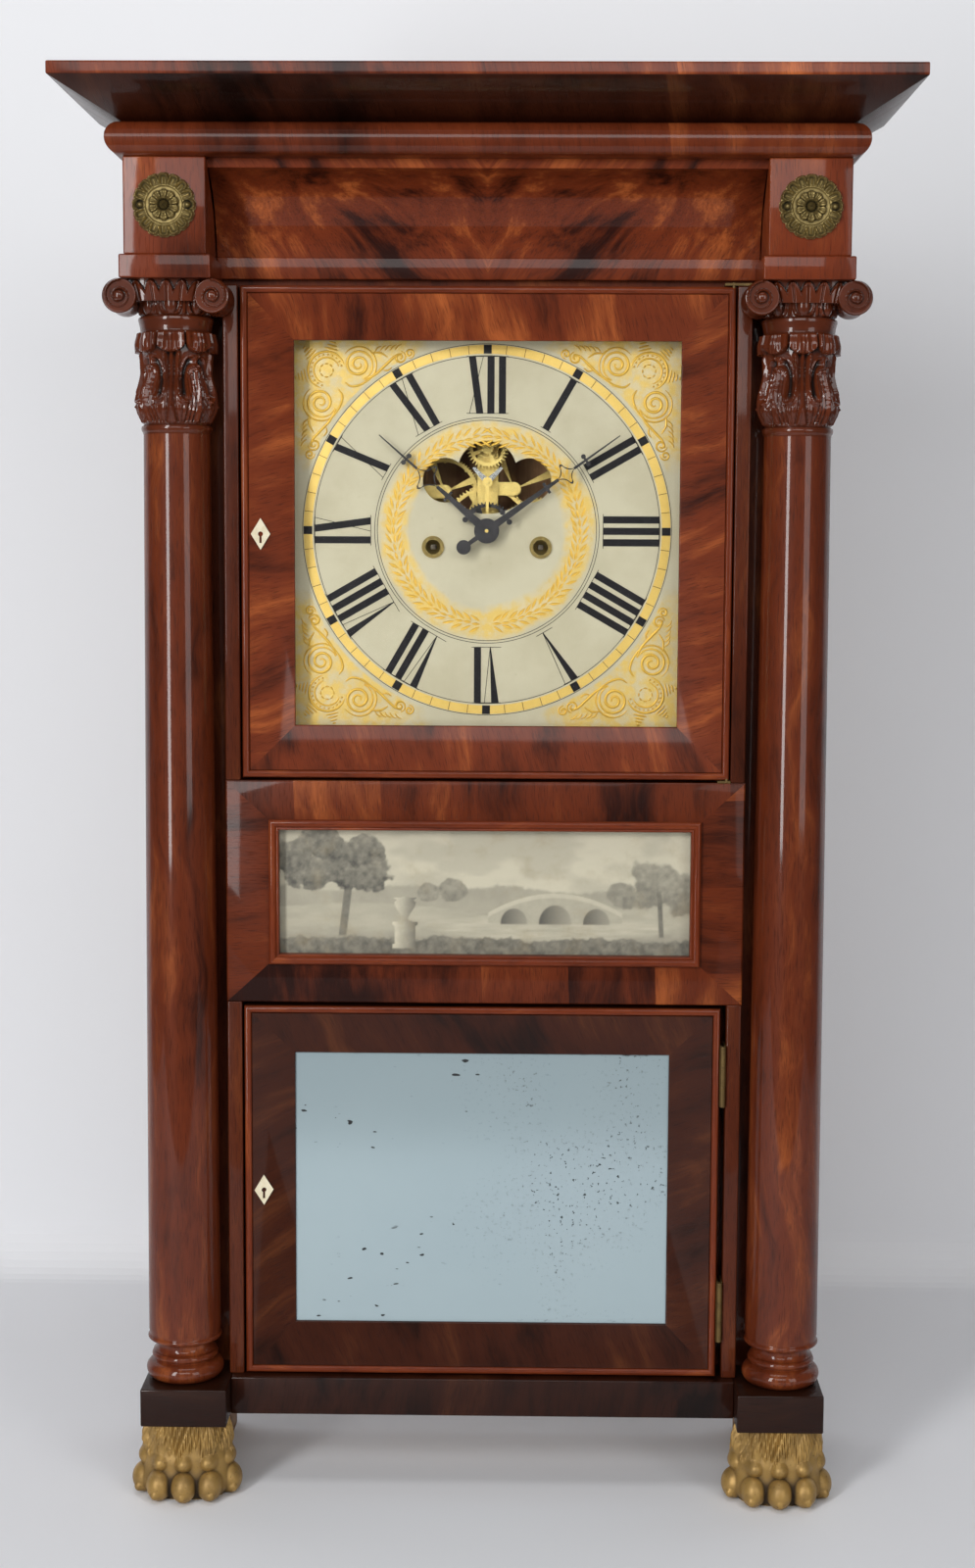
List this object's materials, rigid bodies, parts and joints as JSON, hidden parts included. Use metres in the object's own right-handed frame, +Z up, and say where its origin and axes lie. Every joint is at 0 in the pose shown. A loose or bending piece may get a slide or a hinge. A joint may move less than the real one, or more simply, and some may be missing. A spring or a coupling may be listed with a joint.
{
  "type": "column shelf clock",
  "caption": "Tall three-tier shelf clock with carved columns, glazed dial door, picture panel, mirror door, paw feet and a weight-driven striking movement.",
  "frame": {"origin": "centre of the footprint on the surface that the feet stand on", "axes": "+Z up, -Y towards the viewer, +X to the viewer's right"},
  "size_m": [0.55, 0.1854, 0.95],
  "materials": {
    "mahogany": "french polished crotch veneer",
    "carved_mahogany": "dark carved and polished",
    "pine": "bare aged softwood",
    "gilt_wood": "worn dull gilding on carved wood",
    "gilt_brass": "stamped and lacquered",
    "brass": "aged brass",
    "drum_wood": "turned wood",
    "steel": "polished steel",
    "blued_steel": "dark blued steel",
    "dial_paint": "painted wooden dial with raised gilding",
    "glass": "thin old window glass",
    "mirror": "old silvered glass with spots",
    "print_card": "printed card behind glass",
    "bone": "polished bone",
    "cast_iron": "rough cast",
    "cord": "twisted cotton"
  },
  "bodies": {
    "case": {"cornice": "mahogany", "roll_moulding": "mahogany", "frieze_cove": "mahogany", "rosette_blocks": "mahogany", "column_left": "mahogany", "column_right": "mahogany", "plinths": "mahogany", "base_rail": "mahogany", "door_posts": "mahogany", "middle_panel": "mahogany", "picture_moulding": "mahogany", "side_boards": "mahogany", "capital_left": "carved_mahogany", "capital_right": "carved_mahogany", "backboard": "pine", "end_boards": "pine", "front_frame": "pine", "rear_feet": "pine", "paw_feet": "gilt_wood", "rosettes": "gilt_brass", "front_plate": "brass", "back_plate": "brass", "bell": "brass", "winding_bezels": "brass", "pulley_brackets": "brass", "case_hinge_plates": "brass", "dial_board": "dial_paint", "picture_glass": "glass", "picture_card": "print_card", "time_cord": "cord", "strike_cord": "cord"},
    "upper_door": {"upper_door_frame": "mahogany", "upper_door_glass": "glass", "upper_escutcheon": "bone", "upper_hinge_pins": "steel"},
    "lower_door": {"lower_door_frame": "mahogany", "mirror_plate": "mirror", "mirror_backing": "pine", "lower_escutcheon": "bone", "lower_hinge_door_leaves": "brass"},
    "minute_hand": {"minute_hand": "blued_steel"},
    "hour_hand": {"hour_hand": "blued_steel"},
    "minute_wheel": {"minute_wheel": "brass"},
    "centre_wheel": {"centre_wheel": "brass"},
    "third_wheel": {"third_wheel": "brass"},
    "escape_wheel": {"escape_wheel": "brass"},
    "intermediate_wheel": {"intermediate_wheel": "brass"},
    "time_great_wheel": {"time_great_wheel": "brass"},
    "strike_great_wheel": {"strike_great_wheel": "brass"},
    "pin_wheel": {"pin_wheel": "brass"},
    "strike_fly": {"strike_fly": "brass"},
    "time_drum": {"time_drum": "drum_wood"},
    "strike_drum": {"strike_drum": "drum_wood"},
    "time_pulley": {"time_pulley": "brass"},
    "strike_pulley": {"strike_pulley": "brass"},
    "time_weight": {"time_weight": "cast_iron"},
    "strike_weight": {"strike_weight": "cast_iron"},
    "verge": {"verge": "steel"},
    "pendulum": {"pendulum": "brass"},
    "hammer": {"strike_hammer": "steel"}
  },
  "joints": [
    {"name": "upper_door_swing", "type": "hinge", "parent": "case", "child": "upper_door", "pos_m": [0.1624, -0.01765, 0.656], "axis": [0, 0, 1], "range_deg": [0, 90]},
    {"name": "lower_door_swing", "type": "hinge", "parent": "case", "child": "lower_door", "pos_m": [0.1629, -0.01975, 0.208], "axis": [0, 0, 1], "range_deg": [0, 105]},
    {"name": "minute_wheel_turn", "type": "hinge", "parent": "case", "child": "minute_wheel", "pos_m": [0, -0.01925, 0.6355], "axis": [0, 1, 0], "continuous": true},
    {"name": "centre_wheel_turn", "type": "hinge", "parent": "case", "child": "centre_wheel", "pos_m": [0, -0.01925, 0.6595], "axis": [0, 1, 0], "continuous": true},
    {"name": "third_wheel_turn", "type": "hinge", "parent": "case", "child": "third_wheel", "pos_m": [0.01801, -0.01925, 0.68834], "axis": [0, 1, 0], "continuous": true},
    {"name": "escape_wheel_turn", "type": "hinge", "parent": "case", "child": "escape_wheel", "pos_m": [0, -0.01925, 0.7157], "axis": [0, 1, 0], "continuous": true},
    {"name": "intermediate_wheel_turn", "type": "hinge", "parent": "case", "child": "intermediate_wheel", "pos_m": [0.00546, -0.01925, 0.62614], "axis": [0, 1, 0], "continuous": true},
    {"name": "time_great_wheel_turn", "type": "hinge", "parent": "case", "child": "time_great_wheel", "pos_m": [0.0365, -0.01925, 0.6485], "axis": [0, 1, 0], "continuous": true},
    {"name": "strike_great_wheel_turn", "type": "hinge", "parent": "case", "child": "strike_great_wheel", "pos_m": [-0.0365, -0.01925, 0.6485], "axis": [0, 1, 0], "continuous": true},
    {"name": "pin_wheel_turn", "type": "hinge", "parent": "case", "child": "pin_wheel", "pos_m": [-0.02986, -0.01925, 0.68617], "axis": [0, 1, 0], "continuous": true},
    {"name": "strike_fly_turn", "type": "hinge", "parent": "case", "child": "strike_fly", "pos_m": [-0.04085, -0.01925, 0.70973], "axis": [0, 1, 0], "continuous": true},
    {"name": "minute_hand_turn", "type": "hinge", "parent": "case", "child": "minute_hand", "pos_m": [0, -0.01925, 0.6595], "axis": [0, 1, 0], "continuous": true},
    {"name": "hour_hand_turn", "type": "hinge", "parent": "case", "child": "hour_hand", "pos_m": [0, -0.01925, 0.6595], "axis": [0, 1, 0], "continuous": true},
    {"name": "time_weight_slide", "type": "slide", "parent": "case", "child": "time_weight", "axis": [0, 0, 1], "range_m": [0, 0.36], "deforming": ["time_cord"]},
    {"name": "time_drum_turn", "type": "hinge", "parent": "case", "child": "time_drum", "pos_m": [0.0365, -0.01925, 0.6485], "axis": [0, 1, 0], "range_deg": [0, 1756.44]},
    {"name": "time_pulley_turn", "type": "hinge", "parent": "case", "child": "time_pulley", "pos_m": [0.134, -0.01925, 0.862], "axis": [0, 1, 0], "range_deg": [-1232.43, 0]},
    {"name": "strike_weight_slide", "type": "slide", "parent": "case", "child": "strike_weight", "axis": [0, 0, 1], "range_m": [0, 0.36], "deforming": ["strike_cord"]},
    {"name": "strike_drum_turn", "type": "hinge", "parent": "case", "child": "strike_drum", "pos_m": [-0.0365, -0.01925, 0.6485], "axis": [0, 1, 0], "range_deg": [-1756.44, 0]},
    {"name": "strike_pulley_turn", "type": "hinge", "parent": "case", "child": "strike_pulley", "pos_m": [-0.134, -0.01925, 0.862], "axis": [0, 1, 0], "range_deg": [0, 1232.43]},
    {"name": "hammer_turn", "type": "hinge", "parent": "case", "child": "hammer", "pos_m": [-0.045, -0.01925, 0.6075], "axis": [0, 1, 0], "range_deg": [0, 12]},
    {"name": "pendulum_turn", "type": "hinge", "parent": "case", "child": "pendulum", "pos_m": [0, -0.01925, 0.6925], "axis": [0, 1, 0], "range_deg": [-3, 3]},
    {"name": "verge_turn", "type": "hinge", "parent": "case", "child": "verge", "pos_m": [0, -0.01925, 0.6925], "axis": [0, 1, 0], "range_deg": [-3, 3]}
  ],
  "couplings": [
    {"joint": "hour_hand_turn", "follows": "minute_hand_turn", "ratio": 0.083333},
    {"joint": "minute_wheel_turn", "follows": "minute_hand_turn", "ratio": -0.33333},
    {"joint": "centre_wheel_turn", "follows": "third_wheel_turn", "ratio": -0.11111},
    {"joint": "escape_wheel_turn", "follows": "third_wheel_turn", "ratio": -8.75},
    {"joint": "intermediate_wheel_turn", "follows": "third_wheel_turn", "ratio": 0.033333},
    {"joint": "time_great_wheel_turn", "follows": "third_wheel_turn", "ratio": -0.0041667},
    {"joint": "strike_great_wheel_turn", "follows": "pin_wheel_turn", "ratio": -0.125},
    {"joint": "strike_fly_turn", "follows": "pin_wheel_turn", "ratio": -9},
    {"joint": "verge_turn", "follows": "pendulum_turn", "ratio": 1},
    {"joint": "time_drum_turn", "follows": "time_weight_slide", "rad_per_m": 85.106},
    {"joint": "time_pulley_turn", "follows": "time_weight_slide", "rad_per_m": -59.701},
    {"joint": "strike_drum_turn", "follows": "strike_weight_slide", "rad_per_m": -85.106},
    {"joint": "strike_pulley_turn", "follows": "strike_weight_slide", "rad_per_m": 59.701}
  ]
}
